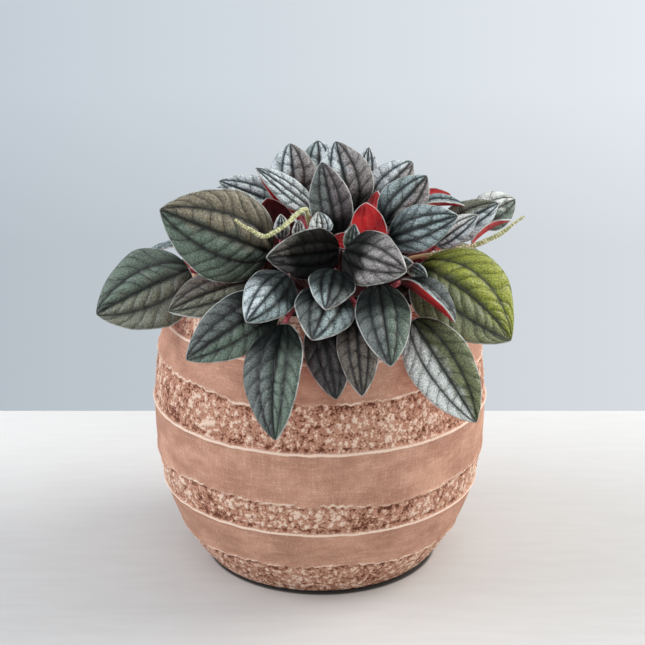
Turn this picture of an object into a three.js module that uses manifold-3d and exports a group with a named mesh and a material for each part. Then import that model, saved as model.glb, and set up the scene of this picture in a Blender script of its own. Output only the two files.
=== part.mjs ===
// A potted peperomia: a banded terracotta globe pot filled with soil, a low crown with one
// petiole for each leaf, deeply grooved lance-shaped blades, two flower spikes, and four small
// crowns at the back with a spray of the same leaves each.
// Millimetres, +Z up. The origin is the centre of the pot's foot, on the surface it stands on,
// and -Y is the front.
import * as THREE from 'three';
import { mergeVertices } from 'three/addons/utils/BufferGeometryUtils.js';
import Module from 'manifold-3d';

const wasm = await Module();
wasm.setup();

const { cos, sin, sqrt, abs, PI } = Math;

// ---- driving dimensions ----
const GAP = 0.3;                 // clearance between pieces that touch

const POT_HEIGHT = 140;
const POT_BELLY_RADIUS = 80.5;   // widest radius, at POT_BELLY_Z
const POT_BELLY_Z = 76;
const POT_HALF_SPAN = 101;       // height from the belly at which the outline would close
const POT_SQUARENESS = 2.3;      // 2 is an ellipse
const POT_WALL = 7;
const POT_FLOOR = 10;
const POT_FOOT_BEVEL = 2;
const POT_RIM_BEVEL = 1.5;
const POT_SIDES = 36;

const RIDGES = [40.5, 82, 122.5];       // heights of the clean raised lines
const RAGGED_EDGES = [19.5, 56, 105];   // heights of the torn lower edges of the smooth bands
const RIDGE_RELIEF = 0.8;
const RIDGE_HALF_WIDTH = 1.3;
const RAGGED_SWING = 1.8;
const ROUGH_RELIEF = 0.6;

const SOIL_LEVEL = 124;          // at the wall
const SOIL_MOUND = 3;            // how much higher the middle is
const CROWN_X = 4;
const CROWN_Y = -4;
const CROWN_RADIUS = 12;
const CROWN_FOOT = 108;          // the crown stands this deep in its hole in the soil
const CROWN_SHOULDER = 130;
const CROWN_TOP = 137;
const CROWN_SIDES = 16;

const PETIOLE_RADIUS = 1.3;
const PETIOLE_SIDES = 5;
const PETIOLE_STEPS = 4;
const PETIOLE_LEAST_RISE = 0.35; // slope at which the lowest petioles leave the crown
const PETIOLE_IN_LINE = 0.5;     // how far they come in along the midrib rather than from below
const HANGING_PITCH = -45;       // steeper blades hang over the rim, from petioles in line with them
const HANGING_IN_LINE = 2.5;
const PETIOLE_APPROACH = 12;     // longest stretch that keeps the direction it meets the blade in
const PETIOLE_ROOT_RADIUS = 6;   // where petioles leave the crown's axis
const PETIOLE_ROOT_Z = 131;

const BLADE_THICKNESS = 1.1;
const SMALL_LEAF = 17;           // blades shorter than this have thinner petioles
const GROOVE_PITCH = 0.36;       // spacing of the lengthwise veins, as a share of half the width
const SWELL = 0.05;              // height of the panels between the veins, as a share of the width
const EDGE_CURL = 0.18;          // how far the margins turn down, as a share of half the width

const DEGREE = PI / 180;

// ---- leaves ----
// Name, foot of the blade [x, y, z], heading (0 = +X, 90 = +Y) and pitch of the midrib,
// roll about it, blade length and width, arch of the midrib as a share of the length, and
// fold of the two halves as a slope (up along the midrib when positive).
const LEAVES = [
  ['leaf_01', [-22, -37, 162.5], -164, 26, 80, 56, 42, 0.08, 0.1],
  ['leaf_02', [-60.3, -20, 149.1], -165, -22, 42, 48, 43, 0.03, 0.1],
  ['leaf_03', [-31, -38, 149], -156, -12, 38, 41, 25, 0.08, 0.1],
  ['leaf_04', [-19, -60, 148], -159, -28, 58, 48, 27, 0.08, 0.1],
  ['leaf_05', [-15, -74, 142], -100, -63, -25, 51, 31, 0.08, 0.35],
  ['leaf_06', [1, -67, 142], -72, -56, -18, 37, 21, 0.08, 0.1],
  ['leaf_07', [16, -68, 146], -84, -54, -8, 39, 19, 0.08, 0.1],
  ['leaf_08', [25.5, -64, 157], -82, -37, -5, 43, 24, 0.08, 0.1],
  ['leaf_09', [41, -61, 139], -25, -54, -58, 54, 29, 0.08, 0.35],
  ['leaf_10', [45, -35, 156], -22, -34, -40, 54, 46, 0.17, 0.1],
  ['leaf_11', [36, -53, 154], -32, -26, 12, 31, 20, 0.02, 0.85],
  ['leaf_12', [11, -48, 167], -40, -4, -56, 35, 26, 0.12, 0],
  ['leaf_13', [32, -30, 167], -14, 23, -66, 34, 21.5, 0.08, 0.2],
  ['leaf_14', [30, -12, 169], 17, 46, -60, 30, 22, 0.08, 0.1],
  ['leaf_15', [25, 8, 173], 32, 38, -50, 29, 21, 0.08, 0.1],
  ['leaf_16', [22, 30, 174], 72, 73, -16, 21, 12, 0.08, 0.2],
  ['leaf_17', [15, 0, 171], 118, 63, 24, 35, 27, 0.08, 0.3],
  ['leaf_18', [8, -22, 166], 131, 72, 36, 35, 20, 0.08, 0.2],
  ['leaf_19', [-11.5, 10, 175], 104, 65, 12, 27, 23, 0.08, 0.2],
  ['leaf_20', [-2, -8, 173], -160, 40, 62, 38, 14, 0.04, 0.2],
  ['leaf_21', [-18, 8, 171.5], -172, 25, 70, 33, 19, 0.08, 0.2],
  ['leaf_22', [-18.5, -6, 157], -134, 71, -50, 26, 19, 0.08, 0.2],
  ['leaf_23', [9, -31, 162], -150, 4, 82, 38, 24, 0.08, 0.2],
  ['leaf_24', [-14, -58, 159], -128, -26, 38, 32, 23, 0.1, 0],
  ['leaf_25', [6, -60, 153], -107, -22, 20, 34, 27, 0.1, 0],
  ['leaf_26', [7, -57, 161], -100, -22, 12, 27, 21, 0.1, 0.1],
  ['leaf_27', [0.5, -29, 167.5], 128, 80, 0, 12, 14, 0.1, 0.1],
  ['leaf_28', [22, -34, 163], -107, 80, 0, 24, 17, 0.08, 0.3],
  ['leaf_29', [14, -40, 164], 60, 75, -20, 13, 8, 0.08, 0.3],
  ['leaf_30', [1, 22, 176], 99, 61, 9, 25, 22, 0.08, 0.2],
  ['leaf_31', [47, 24.5, 171], 18, 2, 100, 18, 9, 0.08, 0.2],
  ['leaf_32', [44, 4, 170], -5, 9, -5, 25, 12, 0.08, 0.8],
  ['leaf_33', [57, 2, 159], 8, 28, -60, 32, 19, 0.08, 0.2],
  ['leaf_34', [75.5, 30, 158], 25, 20, -56, 25, 20, 0.1, 0.2],
  ['leaf_35', [54, -16, 160], -12, 39, -72, 25, 13, 0.08, 0.2],
  ['leaf_36', [34, -37, 157], -54, 18, -76, 14, 8, 0.08, 0.2],
  ['leaf_37', [57, 2, 150], 26, -16, -60, 28, 14, 0.08, 0.2],
  ['leaf_38', [-17.5, -24, 165], 106, 84, 0, 12, 8, 0.1, 0.1],
  ['leaf_39', [0, -61, 149.5], -142, -16, 30, 12, 14, 0.1, 0.1],
  ['leaf_40', [15, -54, 148], 20, 60, 120, 12, 8, 0.08, 0.3],
  ['leaf_41', [40, -41, 157.5], -45, -12, -40, 12, 7, 0.08, 0.2],
  ['leaf_42', [71, -11, 159], 14, 28, 30, 22, 8, 0.08, 0.6],
  ['leaf_43', [22, -2, 169], 20, 66, 150, 14, 9, 0.08, 0.3],
  ['leaf_44', [15, -29, 164.5], 172, 16, -90, 10, 8, 0.08, 0.2],
  ['leaf_45', [-9.5, -25, 165.5], 90, 80, 0, 9, 6.5, 0.1, 0.4],
  ['leaf_46', [-9, -5, 172], -161, 48, -80, 31, 9, 0.05, 0.2],
];

// ---- side crowns and their sprays ----
// Four side crowns stand behind the middle one, each one piece with the petioles and blades of
// its spray. Name, heading from the pot's axis, and distance from it.
const SPRAYS = [
  ['spray_01', 153, 34],
  ['spray_02', 116, 35],
  ['spray_03', 79, 35],
  ['spray_04', 43, 34],
];
// The blades of a spray: turn from its own heading, distance of the foot from the pot's axis,
// height, pitch, roll, length and width.
const SPRAY_LEAVES = [
  [-9, 60, 147, -40, 10, 47, 29],
  [10, 57, 152, -28, -8, 48, 28],
  [-14, 38, 161, -14, 8, 43, 26],
  [5, 40, 166, -2, -8, 40, 25],
  [-8, 30, 168, 10, 6, 31, 18],
];
const SPRAY_ARCH = 0.1;
const SPRAY_FOLD = 0.15;
const SPRAY_WANDER = { heading: 2, pitch: 4, roll: 8, length: 2 };   // most that a blade strays
const SIDE_CROWN_RADIUS = 5;
const SIDE_CROWN_FOOT = 112;
const SIDE_CROWN_SHOULDER = 131; // where its petioles leave it
const SIDE_CROWN_TOP = 134;
const SIDE_CROWN_SIDES = 8;
const SIDE_ROOT_RADIUS = 2;      // where petioles leave a side crown's axis
const SIDE_PETIOLE_SIDES = 4;
const FUSED_REACH = 3;           // how far a spray's petioles run on into their blades

// Facets of a blade by its length: rows along it and columns across it, as shares of the length
// and of half the width. Columns lie on the grooves and on the crests of the panels.
const BLADE_FACETS = [
  { upTo: 17, rows: [0.08, 0.4, 0.78], columns: [-1, -0.2, 0, 0.2, 1] },
  { upTo: 40, rows: [0.07, 0.3, 0.58, 0.83], columns: [-1, -0.5, -0.25, 0, 0.25, 0.5, 1] },
  {
    upTo: 99,
    rows: [0.06, 0.25, 0.45, 0.66, 0.86],
    columns: [-1, -0.56, -0.36, -0.18, 0, 0.18, 0.36, 0.56, 1],
  },
];

// ---- flower spikes ----
// Each spike is a route from the crown outwards; its last stretch carries the tiny flowers.
const SPIKES = {
  flower_spike_left: [
    [3, -5, 138], [-3, -13, 152], [-4.5, -24, 172], [-7, -33, 182], [-16, -46, 178], [-24, -52, 175],
    [-31, -54, 179], [-37, -55, 184],
  ],
  flower_spike_right: [
    [15, -9.5, 136.5], [28, -15, 146], [42, -18, 154], [56, -20, 157.5], [68, -20, 160], [80, -18, 164],
    [95, -14, 173],
  ],
};
const SPIKE_RADIUS = 1.2;

// A place at that heading and distance from the pot's axis.
function around(heading, distance) {
  return [distance * cos(heading * DEGREE), distance * sin(heading * DEGREE)];
}

// ---- solids ----
function toManifold(geometry) {
  const bare = geometry.clone();
  bare.deleteAttribute('normal');
  bare.deleteAttribute('uv');
  const merged = mergeVertices(bare, 1e-4);
  return new wasm.Manifold(new wasm.Mesh({
    numProp: 3,
    vertProperties: new Float32Array(merged.attributes.position.array),
    triVerts: new Uint32Array(merged.index.array),
  }));
}

function fromManifold(solid) {
  const mesh = solid.getMesh();
  const geometry = new THREE.BufferGeometry();
  geometry.setAttribute('position', new THREE.BufferAttribute(mesh.vertProperties, 3));
  geometry.setIndex(new THREE.BufferAttribute(mesh.triVerts, 1));
  geometry.computeVertexNormals();
  return geometry;
}

function latheUpright(profile, sides) {
  const points = profile.map(([radius, z]) => new THREE.Vector2(radius, z));
  return new THREE.LatheGeometry(points, sides).rotateX(PI / 2);
}

function tube(curve, radius, sides, steps) {
  const section = new THREE.Shape();
  for (let i = 0; i < sides; i++) {
    const angle = (2 * PI * i) / sides;
    section[i ? 'lineTo' : 'moveTo'](radius * cos(angle), radius * sin(angle));
  }
  return new THREE.ExtrudeGeometry(section, { steps, bevelEnabled: false, extrudePath: curve });
}

// ---- pot ----
function potRadius(z) {
  const offset = abs(z - POT_BELLY_Z) / POT_HALF_SPAN;
  return POT_BELLY_RADIUS * sqrt(1 - offset ** POT_SQUARENESS);
}

// Wander of the torn edges up and down, and lumps of the rough bands in and out.
function raggedShift(angle, band) {
  return RAGGED_SWING * (0.6 * sin(3 * angle + 2 * band) + 0.4 * sin(8 * angle + band));
}

function roughness(angle, z) {
  return ROUGH_RELIEF * (sin(11 * angle + 1.7 * z) * cos(7 * angle - z) - 0.4);
}

// Outer rows from the foot to the rim: height, relief, and what shapes the row.
function outerRows() {
  const rows = [{ z: POT_FOOT_BEVEL, kind: 'rough' }];
  const tops = [POT_FOOT_BEVEL, ...RIDGES];
  RIDGES.forEach((ridge, band) => {
    const ragged = RAGGED_EDGES[band];
    const rough = ragged - tops[band];
    const roughRows = rough > 20 ? 3 : 2;
    for (let i = 1; i < roughRows + 1; i++) {
      rows.push({ z: tops[band] + RIDGE_HALF_WIDTH + ((rough - 4) * i) / (roughRows + 1), kind: 'rough' });
    }
    rows.push({ z: ragged - RIDGE_HALF_WIDTH, kind: 'ragged', band, relief: -0.3 });
    rows.push({ z: ragged, kind: 'ragged', band, relief: 0.5 });
    rows.push({ z: (ragged + ridge) / 2, kind: 'smooth', relief: 0 });
    rows.push({ z: ridge - RIDGE_HALF_WIDTH, kind: 'smooth', relief: 0 });
    rows.push({ z: ridge, kind: 'smooth', relief: RIDGE_RELIEF });
    rows.push({ z: ridge + RIDGE_HALF_WIDTH, kind: 'smooth', relief: -0.3 });
  });
  rows.push({ z: 130, kind: 'rough' });
  rows.push({ z: 135, kind: 'rough' });
  return rows;
}

function rowPoint(row, angle) {
  let z = row.z;
  let relief = row.relief ?? 0;
  if (row.kind === 'rough') relief = roughness(angle, z);
  if (row.kind === 'ragged') z += raggedShift(angle, row.band);
  return [potRadius(z) + relief, z];
}

const INNER_HEIGHTS = [SOIL_LEVEL, 98, 68, 36, POT_FLOOR];

function innerRadius(z) {
  return potRadius(z) - POT_WALL;
}

// A body of revolution whose rows may vary with the angle. Each row is a function that gives
// radius and height; the first and last rows lie on the axis.
function revolve(rows, sides) {
  const positions = [];
  const index = [];
  rows.forEach((row) => {
    for (let i = 0; i < sides; i++) {
      const angle = (2 * PI * i) / sides;
      const [radius, z] = row(angle);
      positions.push(radius * cos(angle), radius * sin(angle), z);
    }
  });
  for (let j = 0; j < rows.length - 1; j++) {
    for (let i = 0; i < sides; i++) {
      const next = (i + 1) % sides;
      const [a, b, c, d] = [j * sides + i, j * sides + next, (j + 1) * sides + next, (j + 1) * sides + i];
      if (j > 0) index.push(a, b, c);
      if (j < rows.length - 2) index.push(a, c, d);
    }
  }
  const geometry = new THREE.BufferGeometry();
  geometry.setAttribute('position', new THREE.Float32BufferAttribute(positions, 3));
  geometry.setIndex(index);
  return geometry;
}

function potGeometry() {
  const fixed = (radius, z) => () => [radius, z];
  const foot = potRadius(0);
  const rim = potRadius(POT_HEIGHT);
  const rows = [fixed(0, 0), fixed(foot - POT_FOOT_BEVEL, 0)];
  outerRows().forEach((row) => rows.push((angle) => rowPoint(row, angle)));
  rows.push(fixed(rim, POT_HEIGHT - POT_RIM_BEVEL));
  rows.push(fixed(rim - POT_RIM_BEVEL, POT_HEIGHT));
  rows.push(fixed(rim - POT_WALL + POT_RIM_BEVEL, POT_HEIGHT));
  rows.push(fixed(rim - POT_WALL, POT_HEIGHT - POT_RIM_BEVEL));
  INNER_HEIGHTS.forEach((z) => rows.push(fixed(innerRadius(z), z)));
  rows.push(fixed(0, POT_FLOOR));
  const geometry = mergeVertices(revolve(rows, POT_SIDES), 1e-4);
  return fromManifold(toManifold(geometry));
}

function crownHole(x, y, radius, foot, sides) {
  const profile = [[0, foot - GAP], [radius + GAP, foot - GAP], [radius + GAP, CROWN_TOP], [0, CROWN_TOP]];
  return toManifold(latheUpright(profile, sides).translate(x, y, 0));
}

// Soil: fills the pot to SOIL_LEVEL, with a plain hole where each crown stands.
function soilGeometry() {
  const wall = INNER_HEIGHTS.slice().reverse().map((z) => [innerRadius(z) - GAP, z]);
  wall[0][1] += GAP;
  const body = toManifold(latheUpright(
    [[0, POT_FLOOR + GAP], ...wall, [35, SOIL_LEVEL + 0.8 * SOIL_MOUND], [0, SOIL_LEVEL + SOIL_MOUND]],
    POT_SIDES,
  ));
  let solid = body.subtract(crownHole(CROWN_X, CROWN_Y, CROWN_RADIUS, CROWN_FOOT, CROWN_SIDES));
  SPRAYS.forEach(([, heading, distance]) => {
    const [x, y] = around(heading, distance);
    solid = solid.subtract(crownHole(x, y, SIDE_CROWN_RADIUS, SIDE_CROWN_FOOT, SIDE_CROWN_SIDES));
  });
  return fromManifold(solid);
}

// ---- crown and petioles ----
function leafRotation(heading, pitch, roll) {
  return new THREE.Euler(-roll * DEGREE, -pitch * DEGREE, heading * DEGREE, 'ZYX');
}

// The way from a blade's foot back into its petiole: from behind and from its lower side.
function petioleWay([, , heading, pitch, roll]) {
  const inLine = pitch < HANGING_PITCH ? HANGING_IN_LINE : PETIOLE_IN_LINE;
  return new THREE.Vector3(-inLine, 0, -1).normalize().applyEuler(leafRotation(heading, pitch, roll));
}

// A petiole leaves its crown towards the leaf and rises, then meets the end in front of the blade
// or inside it. The root is the centre of the crown at the height where petioles leave it.
function petiole(leaf, end, root, rootRadius, sides) {
  const backward = petioleWay(leaf);
  const outward = new THREE.Vector3(end.x - root.x, end.y - root.y, 0);
  const slope = Math.max(PETIOLE_LEAST_RISE, 0.9 * (end.z - root.z) / outward.length());
  outward.normalize();
  const start = root.clone().addScaledVector(outward, rootRadius);
  const span = start.distanceTo(end);
  const rise = outward.clone().add(new THREE.Vector3(0, 0, slope)).normalize();
  const curve = new THREE.CubicBezierCurve3(
    start,
    start.clone().addScaledVector(rise, 0.35 * span),
    end.clone().addScaledVector(backward, Math.min(0.28 * span, PETIOLE_APPROACH)),
    end,
  );
  const radius = leaf[5] < SMALL_LEAF ? 0.8 * PETIOLE_RADIUS : PETIOLE_RADIUS;
  return toManifold(tube(curve, radius, sides, PETIOLE_STEPS));
}

function stemsGeometry() {
  const crown = latheUpright([
    [0, CROWN_FOOT],
    [CROWN_RADIUS, CROWN_FOOT],
    [CROWN_RADIUS, CROWN_SHOULDER],
    [0.7 * CROWN_RADIUS, 0.5 * (CROWN_SHOULDER + CROWN_TOP)],
    [0, CROWN_TOP],
  ], CROWN_SIDES).translate(CROWN_X, CROWN_Y, 0);
  const root = new THREE.Vector3(CROWN_X, CROWN_Y, PETIOLE_ROOT_Z);
  let solid = toManifold(crown);
  LEAVES.forEach((leaf) => {
    const end = new THREE.Vector3(...leaf[1]).addScaledVector(petioleWay(leaf), GAP + BLADE_THICKNESS / 2);
    solid = solid.add(petiole(leaf, end, root, PETIOLE_ROOT_RADIUS, PETIOLE_SIDES));
  });
  return fromManifold(solid);
}

// ---- blades ----
// Half the blade's width at a share of its length: rounded at the foot, pointed at the tip.
function bladeShare(along) {
  return 2.49 * along ** 0.55 * (1 - along) ** 0.8;
}

// Height of the blade's middle surface above the chord of the midrib.
function bladeHeight(along, across, length, width, arch, fold) {
  const share = bladeShare(along);
  const panel = (abs(across) % GROOVE_PITCH) / GROOVE_PITCH;
  const swell = abs(across) === 1 ? 0 : SWELL * width * sin(PI * panel);
  const slope = fold * abs(across) - EDGE_CURL * across * across;
  return 4 * arch * length * along * (1 - along) + share * (swell + 0.5 * width * slope);
}

// A blade lies along +X with its upper face towards +Z. The two faces are split alike.
function bladeGeometry(length, width, arch, fold) {
  const { rows, columns } = BLADE_FACETS.find((facets) => length < facets.upTo);
  const wide = columns.length;
  const positions = [];
  const push = (x, y, z) => positions.push(x, y, z - BLADE_THICKNESS / 2, x, y, z + BLADE_THICKNESS / 2);
  rows.forEach((along) => {
    columns.forEach((across) => {
      const y = 0.5 * width * bladeShare(along) * across;
      push(length * along, y, bladeHeight(along, across, length, width, arch, fold));
    });
  });
  push(0, 0, 0);
  push(length, 0, 0);
  const at = (row, column) => row * wide + column;
  const [foot, tip] = [rows.length * wide, rows.length * wide + 1];
  const index = [];
  const face = (a, b, c) => {          // the upper triangle and its twin below
    index.push(2 * a + 1, 2 * b + 1, 2 * c + 1);
    index.push(2 * a, 2 * c, 2 * b);
  };
  const edge = (a, b) => index.push(2 * a, 2 * b, 2 * b + 1, 2 * a, 2 * b + 1, 2 * a + 1);
  for (let j = 0; j < wide - 1; j++) {
    face(foot, at(0, j), at(0, j + 1));
    for (let i = 0; i < rows.length - 1; i++) {
      const [a, b, c, d] = [at(i, j), at(i + 1, j), at(i + 1, j + 1), at(i, j + 1)];
      const leftHalf = columns[j] < 0;
      if (leftHalf) {
        face(a, b, c);
        face(a, c, d);
      } else {
        face(a, b, d);
        face(b, c, d);
      }
    }
    face(at(rows.length - 1, j), tip, at(rows.length - 1, j + 1));
  }
  const right = [foot, ...rows.map((_, i) => at(i, 0)), tip];
  const left = [foot, ...rows.map((_, i) => at(i, wide - 1)), tip];
  for (let i = 0; i < right.length - 1; i++) {
    edge(right[i], right[i + 1]);
    edge(left[i + 1], left[i]);
  }
  const geometry = new THREE.BufferGeometry();
  geometry.setAttribute('position', new THREE.Float32BufferAttribute(positions, 3));
  geometry.setIndex(index);
  geometry.computeVertexNormals();
  return geometry;
}

// ---- spray solids ----
// A number from -1 to 1, always the same one for the same seed.
function draw(seed) {
  const wave = 43758.5453 * sin(12.9898 * seed + 4.1);
  return 2 * (wave - Math.floor(wave)) - 1;
}

// The leaves of a spray, in the form of the list of leaves: each strays a little from SPRAY_LEAVES.
function sprayLeaves(index) {
  const [, facing] = SPRAYS[index];
  return SPRAY_LEAVES.map(([turn, distance, height, pitch, roll, length, width], place) => {
    const seed = 10 * index + 2 * place;
    const heading = facing + turn + SPRAY_WANDER.heading * draw(seed);
    return [
      'blade',
      [...around(heading, distance), height],
      heading,
      pitch + SPRAY_WANDER.pitch * draw(seed + 50),
      roll + SPRAY_WANDER.roll * draw(seed + 100),
      length + SPRAY_WANDER.length * draw(seed + 150),
      width,
      SPRAY_ARCH,
      SPRAY_FOLD,
    ];
  });
}

// A side crown with its petioles, which run on into their blades, and the blades.
function sprayGeometry(index) {
  const [, facing, distance] = SPRAYS[index];
  const [x, y] = around(facing, distance);
  let solid = toManifold(latheUpright([
    [0, SIDE_CROWN_FOOT],
    [SIDE_CROWN_RADIUS, SIDE_CROWN_FOOT],
    [SIDE_CROWN_RADIUS, SIDE_CROWN_SHOULDER],
    [0, SIDE_CROWN_TOP],
  ], SIDE_CROWN_SIDES).translate(x, y, 0));
  const root = new THREE.Vector3(x, y, SIDE_CROWN_SHOULDER);
  sprayLeaves(index).forEach((leaf) => {
    const [, foot, heading, pitch, roll, length, width, arch, fold] = leaf;
    const turn = new THREE.Matrix4().makeRotationFromEuler(leafRotation(heading, pitch, roll));
    const blade = bladeGeometry(length, width, arch, fold).applyMatrix4(turn).translate(...foot);
    const end = new THREE.Vector3(FUSED_REACH, 0, 0).applyMatrix4(turn).add(new THREE.Vector3(...foot));
    solid = solid.add(petiole(leaf, end, root, SIDE_ROOT_RADIUS, SIDE_PETIOLE_SIDES));
    solid = solid.add(toManifold(blade));
  });
  return fromManifold(solid);
}

// ---- assembly ----
const POT_FINISH = new THREE.MeshStandardMaterial({ color: 0xb57a62, roughness: 0.85, metalness: 0 });
const SOIL_FINISH = new THREE.MeshStandardMaterial({ color: 0x2a211c, roughness: 1, metalness: 0 });
const STEM_FINISH = new THREE.MeshStandardMaterial({ color: 0xb8505a, roughness: 0.5, metalness: 0 });
const LEAF_FINISH = new THREE.MeshStandardMaterial({ color: 0x4c5750, roughness: 0.45, metalness: 0 });
const SPIKE_FINISH = new THREE.MeshStandardMaterial({ color: 0xc9cf86, roughness: 0.6, metalness: 0 });

function named(name, geometry, material) {
  const mesh = new THREE.Mesh(geometry, material);
  mesh.name = name;
  return mesh;
}

const plant = new THREE.Group();
plant.add(named('pot', potGeometry(), POT_FINISH.clone()));
plant.add(named('soil', soilGeometry(), SOIL_FINISH.clone()));
plant.add(named('stems', stemsGeometry(), STEM_FINISH.clone()));

LEAVES.forEach(([name, foot, heading, pitch, roll, length, width, arch, fold]) => {
  const blade = named(name, bladeGeometry(length, width, arch, fold), LEAF_FINISH.clone());
  blade.position.set(...foot);
  blade.rotation.copy(leafRotation(heading, pitch, roll));
  plant.add(blade);
});

SPRAYS.forEach(([name], index) => {
  plant.add(named(name, sprayGeometry(index), LEAF_FINISH.clone()));
});

Object.entries(SPIKES).forEach(([name, route]) => {
  const curve = new THREE.CatmullRomCurve3(route.map((point) => new THREE.Vector3(...point)));
  plant.add(named(name, tube(curve, SPIKE_RADIUS, 6, 3 * route.length), SPIKE_FINISH.clone()));
});

export default plant;
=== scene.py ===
"""A potted ripple peperomia in a banded terracotta globe pot, dressed round its model's solids.

Metres, +Z up, origin at the centre of the pot's foot. Lengths are written in millimetres and
multiplied by MM. The pot's outline, the petioles' courses and the blades' outline, arch and fold
follow the model's own formulas. The grooves, the relief and the margins are finer than its own.
"""
import functools
import itertools
import math
from collections import namedtuple

import bpy
import numpy as np
from mathutils import Euler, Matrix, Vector


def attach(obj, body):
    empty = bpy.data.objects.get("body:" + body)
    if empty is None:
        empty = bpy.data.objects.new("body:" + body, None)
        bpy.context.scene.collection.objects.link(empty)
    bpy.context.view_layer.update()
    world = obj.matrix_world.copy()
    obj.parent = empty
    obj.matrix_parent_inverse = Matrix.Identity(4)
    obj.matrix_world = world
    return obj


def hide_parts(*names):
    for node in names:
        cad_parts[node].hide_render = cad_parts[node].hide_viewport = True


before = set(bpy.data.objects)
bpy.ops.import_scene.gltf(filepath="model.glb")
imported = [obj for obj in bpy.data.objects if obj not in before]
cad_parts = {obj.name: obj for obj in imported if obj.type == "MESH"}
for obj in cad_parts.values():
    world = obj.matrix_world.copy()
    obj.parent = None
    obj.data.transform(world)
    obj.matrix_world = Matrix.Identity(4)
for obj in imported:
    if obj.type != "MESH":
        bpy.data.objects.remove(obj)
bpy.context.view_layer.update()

MM = 0.001
BODY = "root"

# ---- the pot, as in the model ----
POT_HEIGHT = 140
POT_BELLY_RADIUS = 80.5
POT_BELLY_Z = 76
POT_HALF_SPAN = 101
POT_SQUARENESS = 2.3
POT_WALL = 7
POT_FLOOR = 10
RIDGES = (40.5, 82, 122.5)
RAGGED_EDGES = (19.5, 56, 105)
RIDGE_RELIEF = 0.8
RAGGED_SWING = 1.8
SOIL_LEVEL = 124
SOIL_MOUND = 3
GAP = 0.3

# ---- the pot's and the soil's finer outline and relief ----
POT_COLUMNS = 640
LOWEST_ROW = 1.2
ROUGH_STEP = 0.6            # height of a row in the rough bands, and in the smooth ones
SMOOTH_STEP = 1.7
ROUGH_REACH = 2.5           # how far the close rows run on past the rough bands
FOOT_OUTLINE = ((10, 0), (8, 0), (4, 0.4), (0.6, 0.9))      # inset from the foot's edge, height
RIM_OUTSIDE = ((0.3, 1), (1.3, 0.2), (2.6, 0))              # inset from the outer edge, drop
RIM_INSIDE = ((2.6, 0), (1.2, 0.3), (0.3, 1.3))             # inset from the inner edge, drop
INSIDE_HEIGHTS = (136, 130, 124, 110, 92, 68, 44, 24, POT_FLOOR)
POT_MIDDLE = 0.5            # radius of the face that closes the middle
RELIEF_FADE = (4, 3)        # heights over which the relief fades at the foot and at the rim
LUMP_SIZE = 2.7             # width of the lumps of the rough bands
LUMP_DEPTH = 0.75           # how far the hollows between the lumps are sunk
SMALL_LUMP_SIZE = 0.55 * LUMP_SIZE
RIDGE_HALF_WIDTH = 0.9
LIP_HEIGHT = 0.7            # how far the torn lower edge of a smooth band stands out
LIP_WIDTH = 0.95
FURROW_DEPTH = 0.5          # of the hollows below a torn edge and above a ridge
FOOT_CHALK, RIM_CHALK, INSIDE_CHALK = 0.1, 0.6, 0.15
RIM_CHALK_ROWS = 4
SOIL_COLUMNS = 160
SOIL_RINGS = 56
SOIL_MIDDLE = 1
SOIL_DEPTHS = (100, 70, 36)
SOIL_LUMP_SIZE = 5

# ---- crown, petioles and spikes, as in the model ----
CROWN = (4, -4)
PETIOLE_RADIUS = 1.3
PETIOLE_LEAST_RISE = 0.35
PETIOLE_IN_LINE = 0.5
HANGING_PITCH = -45
HANGING_IN_LINE = 2.5
PETIOLE_APPROACH = 12
PETIOLE_ROOT_RADIUS = 6
PETIOLE_ROOT_Z = 131
SMALL_LEAF = 17
SPIKE_RADIUS = 1.2

# ---- side crowns and their sprays, as in the model ----
SPRAYS = ((153, 34), (116, 35), (79, 35), (43, 34))     # heading and distance of its crown
SPRAY_LEAVES = (                # turn, distance and height of the foot, pitch, roll, length, width
    (-9, 60, 147, -40, 10, 47, 29),
    (10, 57, 152, -28, -8, 48, 28),
    (-14, 38, 161, -14, 8, 43, 26),
    (5, 40, 166, -2, -8, 40, 25),
    (-8, 30, 168, 10, 6, 31, 18),
)
SPRAY_ARCH = 0.1
SPRAY_FOLD = 0.15
SPRAY_WANDER = (2, 4, 8, 2)      # most that a heading, pitch, roll and length stray
SIDE_ROOT_RADIUS = 2
SIDE_ROOT_Z = 131

# ---- crowns, petioles and spikes in more detail ----
CROWN_COLUMNS = 48
CROWN_PROFILE = ((0.3, 108), (12, 108.5), (12, 122), (12, 130), (9.8, 132.5), (8, 134.3), (5, 136),
                 (0.3, 137))        # radii and heights, as in the model but for a rounder top
SIDE_CROWN_PROFILE = ((0.3, 112), (5, 112.5), (5, 122), (5, 131), (3, 132.4), (0.3, 134))
KNOB_SIZE = 5
CROWN_LEAST, KNOB_HEIGHT = 0.88, 0.1        # as shares of the crown's radius
PETIOLE_SIDES = 10
PETIOLE_STEPS = 18
PETIOLE_TAPER = (1.1, 0.85)
PETIOLE_END = 0.2           # its end below the blade's middle, as a share of the thickness
DARK_REACH = (34, 64)       # petioles get painted shade nearer to the crown than this, if below DARK_TOP
DARK_TOP = (152, 166)
DARK_HEIGHTS = (132, 146)   # and all of them get painted shade lower than this
DARK_BLADES = (0.25, 0.42)  # or under a blade that lies so far in the dark
SPIKE_SIDES = 24
SPIKE_STEPS = 460
SPIKE_WANDER = 0.6
STALK_SHARE, FLOWERS_SHARE = 0.8, 0.88      # bare and flowering radius, over SPIKE_RADIUS
FLOWER_HEIGHT = 0.45

# ---- blades, as in the model ----
BLADE_THICKNESS = 1.1
BLADE_FULLNESS, FOOT_POWER, TIP_POWER = 2.49, 0.55, 0.8
SWELL = 0.05
EDGE_CURL = 0.18

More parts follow.
